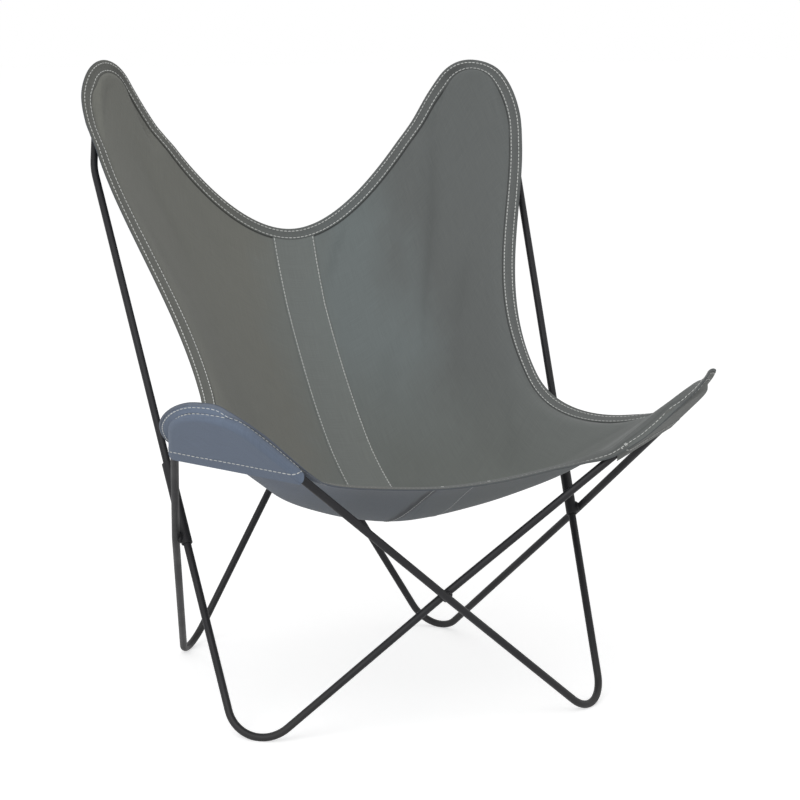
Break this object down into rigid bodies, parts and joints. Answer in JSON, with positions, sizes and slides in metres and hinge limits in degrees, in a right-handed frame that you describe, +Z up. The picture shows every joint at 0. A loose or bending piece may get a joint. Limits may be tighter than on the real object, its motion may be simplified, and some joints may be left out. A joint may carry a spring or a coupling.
{
  "type": "butterfly sling chair",
  "caption": "Low lounge chair: a bucket-shaped canvas sling hung by its pockets on the horns of a crossed frame of bent black rod.",
  "frame": {"origin": "on the floor, under the middle of the chair's outline", "axes": "+Z up, -Y to the front where the sitter's knees are, +X to the right seen from the front"},
  "size_m": [0.7872, 0.7856, 0.9091],
  "materials": {
    "rod": "matt black powder coat",
    "canvas": "grey cotton canvas, plain weave"
  },
  "bodies": {
    "root": {"front_horn_rod_left": "rod", "front_horn_rod_right": "rod", "back_horn_rod_left": "rod", "back_horn_rod_right": "rod", "side_sleeve_left": "rod", "side_sleeve_right": "rod", "rear_sleeve_left": "rod", "rear_sleeve_right": "rod", "front_cross_weld": "rod", "rear_cross_weld": "rod", "side_weld_left": "rod", "side_weld_right": "rod", "sling_panel_left": "canvas", "sling_panel_right": "canvas", "centre_band": "canvas", "back_hem": "canvas", "front_hem": "canvas", "side_hem_left": "canvas", "side_hem_right": "canvas", "back_pocket_left": "canvas", "back_pocket_right": "canvas", "front_pocket_left": "canvas", "front_pocket_right": "canvas"}
  },
  "joints": []
}
